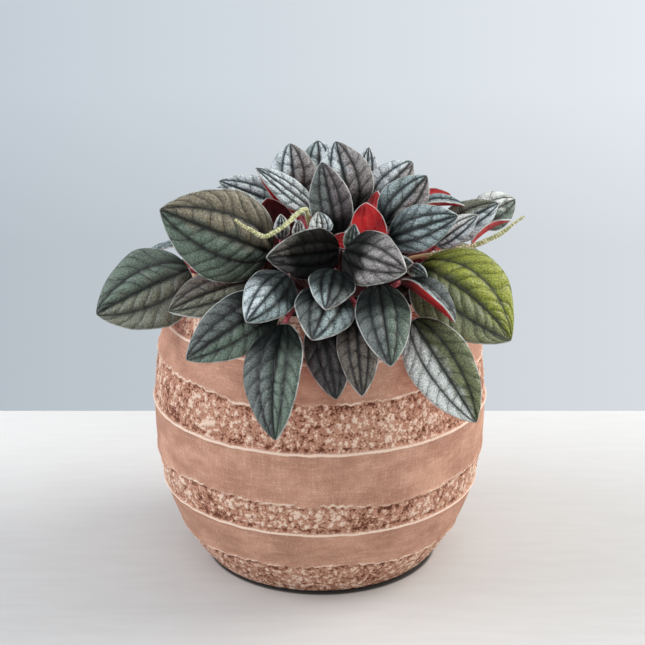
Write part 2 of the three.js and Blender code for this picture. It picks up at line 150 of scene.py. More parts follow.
# ---- the blades' finer relief ----
BLADE_STEP = 0.7            # size of a facet
GROOVES = (0, 0.45)         # the midrib and the side groove, as shares of half the width
GROOVE_STRENGTH = (1, 0.75)
GROOVE_SOFTNESS = (0.045, 0.028)    # width of a groove's shade, as a share of the blade's
MARGIN = (0.76, 0.81, 0.86, 0.9, 0.94, 0.965, 0.985, 0.996, 1.0)    # columns along the margin
PANEL_PUFF = (1.1, 0.75)    # swelling of the panel at the midrib and of the one at the margin
QUILTING = 0.4              # how far side veins pinch the panels between the grooves
VEIN_SLANT = 0.42           # how far side veins run towards the tip on their way out
VEIN_SPACING = 7.0          # distance between side veins along the midrib
VEIN_WIDTH = 0.13           # as a share of that distance
PATCH = 9                   # length of the steps in which a blade's noise is laid out
MARGIN_WAVE = 0.02          # ripple of the margin, as a share of the width
OUTLINE_WAVE = 0.012        # and of the outline

# left and right are the tones of a blade's two halves, seen from its foot, and dark is the share
# of its length, from the foot, that lies in the dark and is painted with shade. Rows without fold
# and arch have the usual.
Leaf = namedtuple("Leaf", "foot heading pitch roll length width left right dark fold arch",
                  defaults=(0.2, 0.08))
LEAVES = [Leaf(*row) for row in (       # from leaf_01 to leaf_46
    ((-22, -37, 162.5), -164, 26, 80, 56, 42, "sage", "khaki", 0.12, 0.1),
    ((-60.3, -20, 149.1), -165, -22, 42, 48, 43, "olive", "sage", 0.08, 0.1, 0.03),
    ((-31, -38, 149), -156, -12, 38, 41, 25, "olive", "umber", 0.1, 0.1),
    ((-19, -60, 148), -159, -28, 58, 48, 27, "sage", "slate", 0.35, 0.1),
    ((-15, -74, 142), -100, -63, -25, 51, 31, "sage", "slate", 0.28, 0.35),
    ((1, -67, 142), -72, -56, -18, 37, 21, "coal", "coal", 0.3, 0.1),
    ((16, -68, 146), -84, -54, -8, 39, 19, "umber", "umber", 0.3, 0.1),
    ((25.5, -64, 157), -82, -37, -5, 43, 24, "sage", "slate", 0.42, 0.1),
    ((41, -61, 139), -25, -54, -58, 54, 29, "moss", "pale", 0.1, 0.35),
    ((45, -35, 156), -22, -34, -40, 54, 46, "lime", "moss", 0.1, 0.1, 0.17),
    ((36, -53, 154), -32, -26, 12, 31, 20, "slate", "steel", 0.3, 0.85, 0.02),
    ((11, -48, 167), -40, -4, -56, 35, 26, "ash", "ash", 0.45, 0, 0.12),
    ((32, -30, 167), -14, 23, -66, 34, 21.5, "steel", "steel", 0.2),
    ((30, -12, 169), 17, 46, -60, 30, 22, "steel", "ash", 0.2, 0.1),
    ((25, 8, 173), 32, 38, -50, 29, 21, "silver", "ash", 0.1, 0.1),
    ((22, 30, 174), 72, 73, -16, 21, 12, "silver", "silver", -0.3),
    ((15, 0, 171), 118, 63, 24, 35, 27, "silver", "ash", 0.2, 0.3),
    ((8, -22, 166), 131, 72, 36, 35, 20, "slate", "plum", 0.25),
    ((-11.5, 10, 175), 104, 65, 12, 27, 23, "silver", "ash", 0.15),
    ((-2, -8, 173), -160, 40, 62, 38, 14, "silver", "silver", 0.05, 0.2, 0.04),
    ((-18, 8, 171.5), -172, 25, 70, 33, 19, "silver", "silver", 0.1),
    ((-18.5, -6, 157), -134, 71, -50, 26, 19, "plum", "plum", 1),
    ((9, -31, 162), -150, 4, 82, 38, 24, "coal", "umber", 0.75),
    ((-14, -58, 159), -128, -26, 38, 32, 23, "steel", "silver", 0.5, 0, 0.1),
    ((6, -60, 153), -107, -22, 20, 34, 27, "steel", "slate", 0.45, 0, 0.1),
    ((7, -57, 161), -100, -22, 12, 27, 21, "slate", "steel", 0.65, 0.1, 0.1),
    ((0.5, -29, 167.5), 128, 80, 0, 12, 14, "pale", "silver", -0.3, 0.1, 0.1),
    ((22, -34, 163), -107, 80, 0, 24, 17, "plum", "plum", 0.1, 0.3),
    ((14, -40, 164), 60, 75, -20, 13, 8, "sage", "steel", -0.3, 0.3),
    ((1, 22, 176), 99, 61, 9, 25, 22, "steel", "silver", 0.2),
    ((47, 24.5, 171), 18, 2, 100, 18, 9, "plum", "plum", -0.3),
    ((44, 4, 170), -5, 9, -5, 25, 12, "steel", "silver", -0.3, 0.8),
    ((57, 2, 159), 8, 28, -60, 32, 19, "olive", "silver", 0.1),
    ((75.5, 30, 158), 25, 20, -56, 25, 20, "pale", "sage", -0.3, 0.2, 0.1),
    ((54, -16, 160), -12, 39, -72, 25, 13, "pale", "silver", -0.3),
    ((34, -37, 157), -54, 18, -76, 14, 8, "steel", "sage", 0.1),
    ((57, 2, 150), 26, -16, -60, 28, 14, "moss", "steel", 0.2),
    ((-17.5, -24, 165), 106, 84, 0, 12, 8, "silver", "pale", -0.3, 0.1, 0.1),
    ((0, -61, 149.5), -142, -16, 30, 12, 14, "slate", "slate", 0.3, 0.1, 0.1),
    ((15, -54, 148), 20, 60, 120, 12, 8, "plum", "plum", 1, 0.3),
    ((40, -41, 157.5), -45, -12, -40, 12, 7, "steel", "sage", -0.3),
    ((71, -11, 159), 14, 28, 30, 22, 8, "olive", "olive", -0.3, 0.6),
    ((22, -2, 169), 20, 66, 150, 14, 9, "plum", "plum", -0.3, 0.3),
    ((15, -29, 164.5), 172, 16, -90, 10, 8, "plum", "plum", 0.1),
    ((-9.5, -25, 165.5), 90, 80, 0, 9, 6.5, "pale", "pale", -0.3, 0.4, 0.1),
    ((-9, -5, 172), -161, 48, -80, 31, 9, "plum", "plum", 0.1, 0.2, 0.05),
)]
SPRAY_TONES = (("sage", "slate"), ("steel", "sage"), ("olive", "slate"), ("steel", "umber"),
               ("silver", "steel"))
SPRAY_DARK = 0.15

# Each spike's share of bare stalk, and its route from the crown outwards.
SPIKES = (
    ("spike_left", 0.42, (
        (3, -5, 138), (-3, -13, 152), (-4.5, -24, 172), (-7, -33, 182), (-16, -46, 178),
        (-24, -52, 175), (-31, -54, 179), (-37, -55, 184),
    )),
    ("spike_right", 0.45, (
        (15, -9.5, 136.5), (28, -15, 146), (42, -18, 154), (56, -20, 157.5), (68, -20, 160),
        (80, -18, 164), (95, -14, 173),
    )),
)

# ---- colours, as they are seen (sRGB); pairs are a shaded and a lit one ----
TONES = {                       # a blade's dark ground, painted by its grooves as shade, its panels, and the silvery highlight painted on their crests
    "pale": ((92, 94, 90), (166, 168, 162), (226, 230, 226)),
    "silver": ((58, 66, 67), (120, 133, 134), (212, 222, 224)),
    "steel": ((32, 38, 38), (72, 84, 82), (154, 170, 170)),
    "slate": ((27, 29, 28), (56, 61, 57), (102, 110, 106)),
    "sage": ((32, 38, 32), (64, 76, 64), (100, 117, 102)),
    "olive": ((38, 39, 30), (78, 80, 65), (116, 118, 100)),
    "moss": ((36, 41, 24), (78, 84, 48), (120, 126, 88)),
    "lime": ((62, 66, 12), (108, 116, 20), (150, 156, 52)),
    "khaki": ((44, 41, 33), (92, 86, 70), (136, 127, 106)),
    "ash": ((34, 31, 30), (88, 83, 80), (152, 147, 144)),
    "plum": ((30, 24, 25), (62, 53, 54), (112, 103, 104)),
    "umber": ((29, 26, 22), (64, 58, 49), (108, 102, 92)),
    # coal is near black: painted shade for blades that lie deep in the plant's shade
    "coal": ((14, 13, 14), (36, 33, 32), (66, 64, 63)),
}
GROOVE_COLOUR = (15, 17, 17)
# a pale highlight painted along the blades' margins
RIM_HIGHLIGHT_COLOUR = (198, 202, 196)
BACK_COLOURS = ((156, 26, 34), (226, 50, 52))
BACK_VEIN_COLOUR = (222, 120, 116)
# the lower face's colour under painted shade
BACK_SHADE_COLOUR = (58, 42, 44)
PETIOLE_COLOURS = ((132, 38, 48), (206, 92, 104))
# the crown's colour, also painted on the petioles as shade
STALK_SHADE_COLOUR = (36, 20, 18)
SPIKE_COLOURS = ((146, 148, 92), (222, 219, 176))
SPIKE_STALK_COLOUR = (190, 160, 116)
CLAY_COLOURS = ((178, 128, 105), (210, 160, 134))
CRUMB_COLOUR = (198, 145, 119)
CLAY_HOLLOW_COLOUR = (112, 62, 44)
CHALK_COLOUR = (250, 222, 200)
SOIL_COLOURS = ((18, 14, 12), (44, 34, 28))
FIBRE_COLOUR = (104, 78, 56)

# ---- table, surround, camera and lamps, in metres ----
FLOOR_COLOURS = ((203, 201, 198), (206, 205, 202))
FLOOR_FAR_COLOUR = (240, 240, 238)
TABLE_BACK_EDGE = 0.168
TABLE_HALF_WIDTH = 1.6
TABLE_FRONT = -2.2
TABLE_THICKNESS = 0.03
TABLE_BEVEL = 0.002
PALER_FROM = -0.05              # painted light: the table gets paler from here to its back edge
FOOT_SHADE_COLOUR = (34, 30, 27)
FOOT_SHADE_MIDDLE = [0.0008, -0.0018, 0]
FOOT_SHADE_RADII = (0.056, 0.0578)
SKY_COLOURS = ((196, 205, 214), (230, 236, 241))
SKY_SPREAD = (-0.2, 0.2)        # from the left colour to the right one
SKY_DIM = 0.86                  # brightness of the lowest part of the surround that is in view
SKY_DIM_HEIGHTS = (-0.29, -0.2)
VIEW_AIM = Vector((1.3, 0, 116)) * MM
VIEW_DISTANCE = 0.8
VIEW_ELEVATION = math.radians(19.7)
VIEW_LENS = 92.4
LAMPS = (                       # name, place, size, power and colour
    ("window_right", (1.25, 0.35, 0.95), 1.0, 19, (255, 250, 244)),
    ("window_left", (-1.3, -0.1, 0.75), 1.0, 13, (250, 250, 255)),
    ("front", (0.1, -1.3, 1.2), 1.5, 3.5, (255, 252, 248)),
)


# ---- numbers and noise ----
def seen(colour):
    """A colour as it is seen, 0 to 255, as the linear one that a shader takes."""
    shares = [c / 255 for c in colour]
    linear = [s / 12.92 if s <= 0.04045 else ((s + 0.055) / 1.055) ** 2.4 for s in shares]
    return (*linear, 1)


def random_share(cells, seed):
    """A number from 0 to 1 for each whole-numbered cell, always the same one."""
    n = cells[..., 0] * 73856093 ^ cells[..., 1] * 19349663 ^ cells[..., 2] * 83492791
    n = (n ^ (seed * 7919)) & 0xFFFFFFFF
    n = (n ^ (n >> 15)) * 0x2C1B3C6D & 0xFFFFFFFF
    n = (n ^ (n >> 12)) * 0x297A2D39 & 0xFFFFFFFF
    return ((n ^ (n >> 15)) & 0xFFFF) / 0xFFFF


def smooth_noise(points, size, seed):
    """Noise from -1 to 1 whose bumps are about size wide, at each row of points."""
    scaled = np.asarray(points, float) / size
    base = np.floor(scaled).astype(np.int64)
    share = scaled - base
    share = share * share * (3 - 2 * share)
    total = 0
    for corner in itertools.product((0, 1), repeat=3):
        weight = np.prod(np.where(corner, share, 1 - share), axis=-1)
        total = total + weight * random_share(base + np.array(corner), seed)
    return 2 * total - 1


def noise_push(points, size, seed):
    """Such noise along each of the three axes."""
    return np.stack([smooth_noise(points, size, seed + k) for k in range(3)], axis=-1)


def lump_distance(points, size, seed):
    """Distance to the nearest of the points strewn one to a cell of that size, over the size,
    and a number from 0 to 1 that belongs to that point."""
    scaled = np.asarray(points, float) / size
    base = np.floor(scaled).astype(np.int64)
    nearest = np.full(len(scaled), 9.0)
    own = np.zeros(len(scaled))
    for step in itertools.product((-1, 0, 1), repeat=3):
        cell = base + np.array(step)
        centre = cell + np.stack([random_share(cell, seed + k) for k in range(3)], axis=-1)
        distance = np.linalg.norm(scaled - centre, axis=-1)
        own = np.where(distance < nearest, random_share(cell, seed + 3), own)
        nearest = np.minimum(nearest, distance)
    return nearest, own


def ramp(value, low, high):
    """0 below low, 1 above high, and smooth between them."""
    share = np.clip((value - low) / (high - low), 0, 1)
    return share * share * (3 - 2 * share)


def bell(offset, width):
    """1 where the offset is 0, and next to nothing two widths away."""
    return np.exp(-(offset / width) ** 2)


# ---- places and faces ----
def turns(columns):
    """Angles evenly spaced round a whole turn."""
    return 2 * math.pi * np.arange(columns) / columns


def around(radius, angle, z):
    """Places at a radius and an angle round the middle, and at a height."""
    flat = np.broadcast_arrays(radius * np.cos(angle), radius * np.sin(angle), z)
    return np.stack(flat, axis=-1)


def rings(profile, angles):
    """Vertices of a turned body, ring by ring, from the radii and heights of its profile."""
    radii, heights = np.transpose(profile)
    return around(radii[:, None], angles, heights[:, None]).reshape(-1, 3)


def heading_place(heading, distance):
    """The place at a heading, in degrees, and a distance from the middle."""
    return distance * math.cos(math.radians(heading)), distance * math.sin(math.radians(heading))


def grid_faces(rows, columns, closed=True):
    """Quads of a grid of vertices, whose rows close on themselves where closed says so."""
    faces = []
    for j in range(rows - 1):
        for i in range(columns if closed else columns - 1):
            right = (i + 1) % columns
            faces.append((j * columns + i, j * columns + right,
                          (j + 1) * columns + right, (j + 1) * columns + i))
    return faces


def closed_faces(rows, columns):
    """Faces of a turned body or a tube: the quads, and one over each end."""
    last = (rows - 1) * columns
    faces = grid_faces(rows, columns)
    faces.append(tuple(reversed(range(columns))))
    faces.append(tuple(range(last, last + columns)))
    return faces


# ---- pieces ----
# numbers are named values for each vertex, and parts the material index of each face.
Body = namedtuple("Body", "vertices faces numbers parts", defaults=({}, None))


def joined(bodies):
    """Several bodies as one. A number that a body lacks is 0 on it."""
    starts = itertools.accumulate((len(body.vertices) for body in bodies), initial=0)
    faces = [tuple(start + v for v in face)
             for start, body in zip(starts, bodies) for face in body.faces]
    numbers = {key: np.concatenate([
        np.broadcast_to(body.numbers.get(key, 0.0), len(body.vertices)) for body in bodies
    ]) for key in sorted({key for body in bodies for key in body.numbers})}
    parts = [part for body in bodies for part in body.parts or [0] * len(body.faces)]
    return Body(np.concatenate([body.vertices for body in bodies]), faces, numbers, parts)


def new_object(name, data):
    item = bpy.data.objects.new(name, data)
    bpy.context.scene.collection.objects.link(item)
    return item


def new_mesh(name, vertices, faces, materials):
    """A mesh object, in metres."""
    mesh = bpy.data.meshes.new(name)
    mesh.from_pydata(vertices, [], faces)
    for material in materials:
        mesh.materials.append(material)
    return new_object(name, mesh)


def make_piece(name, body, materials, slot, *replaced):
    """A smooth mesh object, from millimetres, that stands for nodes of the model."""
    piece = new_mesh(name, (body.vertices * MM).tolist(), body.faces, materials)
    mesh = piece.data
    for key, values in body.numbers.items():
        attribute = mesh.attributes.new(key, "FLOAT", "POINT")
        attribute.data.foreach_set("value", np.asarray(values, np.float32))
    if body.parts:
        mesh.polygons.foreach_set("material_index", np.array(body.parts, np.int32))
    mesh.polygons.foreach_set("use_smooth", np.ones(len(mesh.polygons), bool))
    mesh.validate()
    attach(piece, BODY)
    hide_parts(*replaced)


# ---- materials ----
class Nodes:
    """Short forms for building the nodes of a material or of the world. A tuple is a colour as
    it is seen."""

    def __init__(self, owner, shader="Principled BSDF"):
        owner.use_nodes = True
        self.owner, self.tree = owner, owner.node_tree
        self.shader = self.tree.nodes[shader]

    def join(self, source, target):
        if isinstance(source, tuple):
            target.default_value = seen(source)
        elif isinstance(source, (int, float, list)):
            target.default_value = source
        else:
            self.tree.links.new(source, target)

    def add(self, kind, inputs, output, **settings):
        """One output of a new node with those settings and inputs."""
        node = self.tree.nodes.new("ShaderNode" + kind)
        for key, value in settings.items():
            setattr(node, key, value)
        for key, value in inputs.items():
            self.join(value, node.inputs[key])
        return node.outputs[output]

    def number(self, name):
        """One of the piece's numbers."""
        return self.add("Attribute", {}, "Fac", attribute_name=name)

    def place(self, stretch=(1, 1, 1)):
        where = self.add("TexCoord", {}, "Object")
        return self.add("Mapping", {"Vector": where, "Scale": list(stretch)}, "Vector")

    def noise(self, size, detail=2.0, stretch=(1, 1, 1), rough=0.5):
        """Noise from 0 to 1 with features about size millimetres wide."""
        inputs = {"Vector": self.place(stretch), "Scale": 1 / (size * MM), "Detail": detail,
                  "Roughness": rough}
        return self.add("TexNoise", inputs, "Fac")

    def cells(self, size):
        """Distance to the nearest cell's centre, over cells about size millimetres wide."""
        inputs = {"Vector": self.place(), "Scale": 1 / (size * MM)}
        return self.add("TexVoronoi", inputs, "Distance")

    def range(self, value, low, high, start=0.0, end=1.0, curve="SMOOTHSTEP"):
        """value's way from low to high, as start to end, held at both."""
        inputs = {"Value": value, "From Min": low, "From Max": high, "To Min": start, "To Max": end}
        return self.add("MapRange", inputs, "Result", interpolation_type=curve)

    def math(self, operation, *values):
        return self.add("Math", dict(enumerate(values)), "Value", operation=operation)

    def times(self, first, second):
        return self.math("MULTIPLY", first, second)

    def plus(self, base, share, extra):
        """base with that share of extra on top."""
        return self.math("MULTIPLY_ADD", extra, share, base)

    def mix(self, share, first, second, blend="MIX"):
        """first where share is 0, and second where it is 1."""
        inputs = {"Factor": share, "A": first, "B": second}
        return self.add("Mix", inputs, "Result", data_type="RGBA", blend_type=blend)

    def bump(self, height, strength, depth):
        """height, from 0 to 1, as relief depth millimetres deep."""
        inputs = {"Height": height, "Strength": strength, "Distance": depth * MM}
        self.join(self.add("Bump", inputs, "Normal"), self.shader.inputs["Normal"])

    def finish(self, **sockets):
        """The material or the world, with the shader's sockets set; _ stands for a space."""
        for key, value in sockets.items():
            self.join(value, self.shader.inputs[key.replace("_", " ")])
        return self.owner


def new_material(name):
    return Nodes(bpy.data.materials.new(name))


def blade_marks(make):
    """How much of a margin's rim with its painted highlight, a main groove's line, a side vein and
    the pillow between two side veins there is."""
    rim_glint_share = make.range(make.noise(5), 0.35, 0.6, 0.35, 1)
    rim = make.times(make.range(make.number("edge"), 0.15, 0.6, 1, 0), rim_glint_share)
    line = make.range(make.number("groove"), 0.0, 0.42, 1, 0)
    line = make.times(line, make.number("depth"))
    off_vein = make.math("PINGPONG", make.number("phase"), 0.5)
    vein = make.range(off_vein, 0.0, 0.05, 1, 0)
    vein = make.times(vein, make.range(make.noise(7), 0.4, 0.6, 0.25, 1))
    return rim, line, vein, make.range(off_vein, 0.0, 0.3)


@functools.cache
def leaf_top_material(left, right):
    """The upper face: a dark ground with pebbled panels whose crests bear a painted silvery
    highlight, dark grooves with painted shade, painted shade towards the foot, and a pale rim
    painted as a highlight."""
    make = new_material(f"leaf_{left}_{right}")
    rim, line, vein, pillow = blade_marks(make)
    side = make.range(make.plus(make.number("across"), 0.8, make.noise(5, 1)), 0.15, 0.65)
    ground, panel, crest = (make.mix(side, *pair) for pair in zip(TONES[right], TONES[left]))
    fine = make.noise(0.75, 3, rough=0.75)
    # painted light and shade: crests, pillows and the tip are brighter, and painted shade lies by
    # the grooves and veins
    light = make.plus(make.number("light"), 0.7, make.noise(6, 3, rough=0.6))
    light = make.plus(light, -0.3, vein)
    light = make.plus(light, 0.1, pillow)
    colour = make.mix(make.range(light, 0.3, 0.92), ground, panel)
    # painted highlight: the silvery crest colour where the painted light is strongest
    painted_sheen = make.plus(light, 0.6, fine)
    colour = make.mix(make.range(painted_sheen, 1.17, 1.8, 0, 0.9), colour, crest)
    colour = make.mix(0.5, colour, make.range(fine, 0.3, 0.7), "OVERLAY")
    dark = make.math("MAXIMUM", line, make.times(vein, 0.65))
    colour = make.mix(make.times(dark, 0.9), colour, GROOVE_COLOUR)
    # painted shade towards the blade's foot, where it lies in the dark; it also dims the highlights
    gloom = make.number("gloom")
    colour = make.mix(make.times(gloom, 0.9), colour, GROOVE_COLOUR)
    # painted highlight along the margin
    colour = make.mix(make.times(rim, 0.85), colour, RIM_HIGHLIGHT_COLOUR)
    relief = make.plus(fine, -0.8, make.cells(0.9))
    relief = make.plus(relief, -0.6, vein)
    relief = make.plus(relief, 1.4, pillow)
    make.bump(relief, 0.75, 0.35)
    return make.finish(Base_Color=colour, Roughness=make.range(fine, 0.3, 0.7, 0.26, 0.44),
                       Specular_IOR_Level=make.range(gloom, 0, 1, 0.5, 0.03))


@functools.cache
def leaf_back_material():
    """The lower face: red, with paler raised veins, the same painted rim highlight, and painted
    shade at the foot.
    """
    make = new_material("leaf_back")
    rim, line, vein, pillow = blade_marks(make)
    patches = make.range(make.noise(9, 3), 0.35, 0.68)
    colour = make.mix(patches, *BACK_COLOURS)
    pale = make.math("MAXIMUM", line, make.times(vein, 0.6))
    colour = make.mix(make.times(pale, 0.4), colour, BACK_VEIN_COLOUR)
    # painted shade towards the foot, on the lower face as well
    gloom = make.number("gloom")
    colour = make.mix(make.times(gloom, 0.93), colour, BACK_SHADE_COLOUR)
    # painted highlight along the margin
    colour = make.mix(rim, colour, RIM_HIGHLIGHT_COLOUR)
    relief = make.plus(make.noise(1.1, 3), 0.6, pale)
    relief = make.plus(relief, -1.2, pillow)
    make.bump(relief, 0.4, 0.3)
    return make.finish(Base_Color=colour, Roughness=make.range(patches, 0, 1, 0.42, 0.55),
                       Specular_IOR_Level=make.range(gloom, 0, 1, 0.4, 0.03))


@functools.cache
def petiole_material():
    """Glossy pink-red stalks, with painted shade towards the crown."""
    make = new_material("petiole")
    streaks = make.noise(1.6, 3, stretch=(1, 1, 0.2))
    colour = make.mix(make.range(streaks, 0.35, 0.65), *PETIOLE_COLOURS)
    colour = make.mix(make.number("old"), colour, STALK_SHADE_COLOUR)
    make.bump(streaks, 0.3, 0.2)
    return make.finish(Base_Color=colour, Roughness=make.range(streaks, 0.3, 0.7, 0.3, 0.45),
                       Coat_Weight=0.15)


@functools.cache
def spike_material():
    """Minute yellow-green flowers, packed round a bare stalk that is tinged with red."""
    make = new_material("flower_spike")
    grains = make.range(make.number("grain"), 0.0, 0.8)
    # the flowers' tops take the paler colour and the hollows between them the darker one, painted
    # shade
    colour = make.mix(grains, *SPIKE_COLOURS)
    colour = make.mix(make.number("stalk"), colour, SPIKE_STALK_COLOUR)
    make.bump(make.noise(0.3), 0.4, 0.1)
    return make.finish(Base_Color=colour, Roughness=make.range(grains, 0, 1, 0.7, 0.5),
                       Subsurface_Weight=0.1, Subsurface_Scale=MM)


def smooth_clay(make, grain, weave):
    """The colour of the smooth bands: clouded, with pale and dark threads and grains."""
    clouds = make.noise(20, 4, stretch=(0.8, 0.8, 1.5), rough=0.65)
    colour = make.mix(make.range(clouds, 0.33, 0.67), *CLAY_COLOURS)
    colour = make.mix(make.range(weave, 0.52, 0.68, 0, 0.25), colour, CHALK_COLOUR)
    colour = make.mix(make.range(weave, 0.32, 0.48, 0.2, 0), colour, CLAY_HOLLOW_COLOUR)
    colour = make.mix(make.range(grain, 0.52, 0.72, 0, 0.5), colour, CHALK_COLOUR)
    return make.mix(make.range(grain, 0.3, 0.47, 0.4, 0), colour, CLAY_HOLLOW_COLOUR)


def pot_material():
    """Fired clay: grainy smooth bands, crumbly rough ones, and chalky ridges and lips."""
    make = new_material("clay")
    grain = make.noise(0.5, 4, rough=0.75)
    upright = make.noise(0.65, stretch=(1, 1, 0.07))
    level = make.noise(0.65, stretch=(0.07, 0.07, 1))
    weave = make.times(make.math("ADD", upright, level), 0.5)
    crumbs = make.times(make.number("crust"), 0.9)
    crumbs = make.plus(crumbs, -0.6, make.cells(1.1))
    crumbs = make.plus(crumbs, 1.3, make.noise(1.0, 3, rough=0.65))
    crumbs = make.plus(crumbs, 0.3, make.noise(7))
    torn = make.mix(make.range(crumbs, 0.46, 0.74), CLAY_HOLLOW_COLOUR, CRUMB_COLOUR)
    torn = make.mix(make.range(crumbs, 0.9, 1.2, 0, 0.9), torn, CHALK_COLOUR)
    colour = make.mix(make.number("rough"), smooth_clay(make, grain, weave), torn)
    chalk = make.math("ADD", make.number("chalk"), make.range(grain, 0.35, 0.65, -0.15, 0.15))
    colour = make.mix(make.range(chalk, 0.4, 0.75, 0, 0.95), colour, CHALK_COLOUR)
    relief = make.plus(grain, 0.5, weave)
    relief = make.plus(relief, 1.4, make.times(crumbs, make.number("rough")))
    make.bump(relief, 0.7, 0.5)
    return make.finish(Base_Color=colour, Roughness=make.range(grain, 0.3, 0.7, 0.72, 0.9),
                       Specular_IOR_Level=0.3)


def soil_material():
    """Dark peaty potting mix with a few paler fibres."""
    make = new_material("potting_mix")
    crumbs = make.noise(2.2, 4, rough=0.7)
    colour = make.mix(make.range(crumbs, 0.4, 0.72), *SOIL_COLOURS)
    fibres = make.noise(1.4, stretch=(1, 0.15, 1))
    colour = make.mix(make.range(fibres, 0.66, 0.74, 0, 0.6), colour, FIBRE_COLOUR)
    make.bump(make.math("ADD", crumbs, make.cells(1.6)), 0.8, 0.8)
    return make.finish(Base_Color=colour, Roughness=0.95, Specular_IOR_Level=0.2)


def floor_material():
    """A plain pale table top with faint brushed grain, a painted contact shadow at the pot's foot,
    and painted light at the back.
    """
    make = new_material("table_top")
    grain = make.noise(6, 3, stretch=(0.2, 1, 1))
    colour = make.mix(make.range(grain, 0.3, 0.7), *FLOOR_COLOURS)
    # painted light, paler towards the table's back edge
    depth = make.add("SeparateXYZ", {"Vector": make.place()}, "Y")
    painted_far_light = make.range(depth, PALER_FROM, TABLE_BACK_EDGE, 0, 0.3)
    colour = make.mix(painted_far_light, colour, FLOOR_FAR_COLOUR)
    # painted contact shadow round the pot's foot
    ends = {0: make.place(), 1: FOOT_SHADE_MIDDLE}
    off_foot = make.add("VectorMath", ends, "Value", operation="DISTANCE")
    near_foot = make.range(off_foot, *FOOT_SHADE_RADII, 0.9, 0)
    colour = make.mix(near_foot, colour, FOOT_SHADE_COLOUR)
    make.bump(grain, 0.1, 0.15)
    return make.finish(Base_Color=colour, Roughness=0.6, Specular_IOR_Level=0.3)


# ---- pot ----
def pot_radius(z):
    """Radius of the pot's plain outline at a height."""
    offset = np.abs(z - POT_BELLY_Z) / POT_HALF_SPAN
    return POT_BELLY_RADIUS * np.sqrt(1 - offset ** POT_SQUARENESS)


def ragged_height(angle, band):
    """Height of the torn lower edge of a smooth band: the model's wander, and finer tears."""
    wander = 0.6 * np.sin(3 * angle + 2 * band) + 0.4 * np.sin(8 * angle + band)
    ring = around(1, angle, float(band))
    tears = 0.9 * smooth_noise(ring, 0.08, 5) + 0.8 * smooth_noise(ring, 0.025, 6)
    return RAGGED_EDGES[band] + RAGGED_SWING * wander + tears


def pot_heights():
    """Heights of the rows up the outside, close together where the clay is rough."""
    heights = [LOWEST_ROW]
    while heights[-1] < POT_HEIGHT - 2:
        z = heights[-1]
        plain = any(torn + (RAGGED_SWING + ROUGH_REACH) < z < ridge - ROUGH_REACH
                    for torn, ridge in zip(RAGGED_EDGES, RIDGES))
        heights.append(z + (SMOOTH_STEP if plain else ROUGH_STEP))
    return np.array(heights)


def pot_bands(points, angle, z):
    """How rough the clay is at each place, and how near to a lip, a furrow and a ridge it lies."""
    rough = np.ones_like(z)
    lip, furrow, ridge_line = np.zeros_like(z), np.zeros_like(z), np.zeros_like(z)
    for band, ridge in enumerate(RIDGES):
        wobble = 0.3 * smooth_noise(points, 5, 11 + band)
        torn = ragged_height(angle, band)
        inside = ramp(z, torn - 0.3, torn + 0.3) * (1 - ramp(z, ridge + 0.6, ridge + 1.2))
        rough = rough * (1 - inside)
        lip = np.maximum(lip, bell(z - torn - 0.5, LIP_WIDTH))
        furrow = np.maximum(furrow, bell(z - torn + 1.3, 0.8))
        furrow = np.maximum(furrow, bell(z - ridge - 2.2, 0.9))
        ridge_line = np.maximum(ridge_line, bell(z - ridge + wobble, RIDGE_HALF_WIDTH))
    return rough, lip, furrow, ridge_line


def pot_crust(points):
    """How far rough clay stands out at each place, from 0 to 1: lumps, small lumps and patches."""
    bent = points + 1.2 * noise_push(points, 4, 20)
    distance, own = lump_distance(bent * (1, 1, 0.8), LUMP_SIZE, 31)
    lumps = (1 - ramp(distance, 0.2, 0.75)) * (0.45 + 0.55 * own)
    distance, own = lump_distance(bent, SMALL_LUMP_SIZE, 41)
    small = (1 - ramp(distance, 0.2, 0.7)) * own
    patch = ramp(smooth_noise(points, 12, 51), -0.6, 0.6)
    return np.clip(0.75 * lumps + 0.4 * small + 0.25 * patch, 0, 1)


def pot_relief(angle, z):
    """Relief of the outside at each place, and the numbers that its material reads."""
    points = around(pot_radius(z), angle, z)
    rough, lip, furrow, ridge_line = pot_bands(points, angle, z)
    crust = pot_crust(points)
    relief = rough * LUMP_DEPTH * (crust - 0.8) + LIP_HEIGHT * lip * (1 - 0.3 * rough)
    relief += RIDGE_RELIEF * ridge_line - FURROW_DEPTH * furrow * rough
    relief += 0.08 * smooth_noise(points, 14, 61)
    broken = 0.75 + 0.4 * smooth_noise(points, 5, 71)
    chalk = np.clip(np.maximum(0.95 * ridge_line, 0.85 * lip * broken), 0, 1)
    # the furrows lower the crust number, which paints shade into them with the hollow colour
    marks = {"chalk": chalk, "crust": crust - 0.2 * furrow, "rough": rough * (1 - ridge_line)}
    return relief, marks


def pot_profiles():
    """Radii and heights of the rings below the outside's rows, and of those above and within."""
    foot, rim = pot_radius(0), pot_radius(POT_HEIGHT)
    below = [(POT_MIDDLE, 0)] + [(foot - inset, z) for inset, z in FOOT_OUTLINE]
    above = [(rim - inset, POT_HEIGHT - drop) for inset, drop in RIM_OUTSIDE]
    above += [(rim - POT_WALL + inset, POT_HEIGHT - drop) for inset, drop in RIM_INSIDE]
    above += [(pot_radius(z) - POT_WALL, z) for z in INSIDE_HEIGHTS]
    return below, above + [(POT_MIDDLE, POT_FLOOR)]


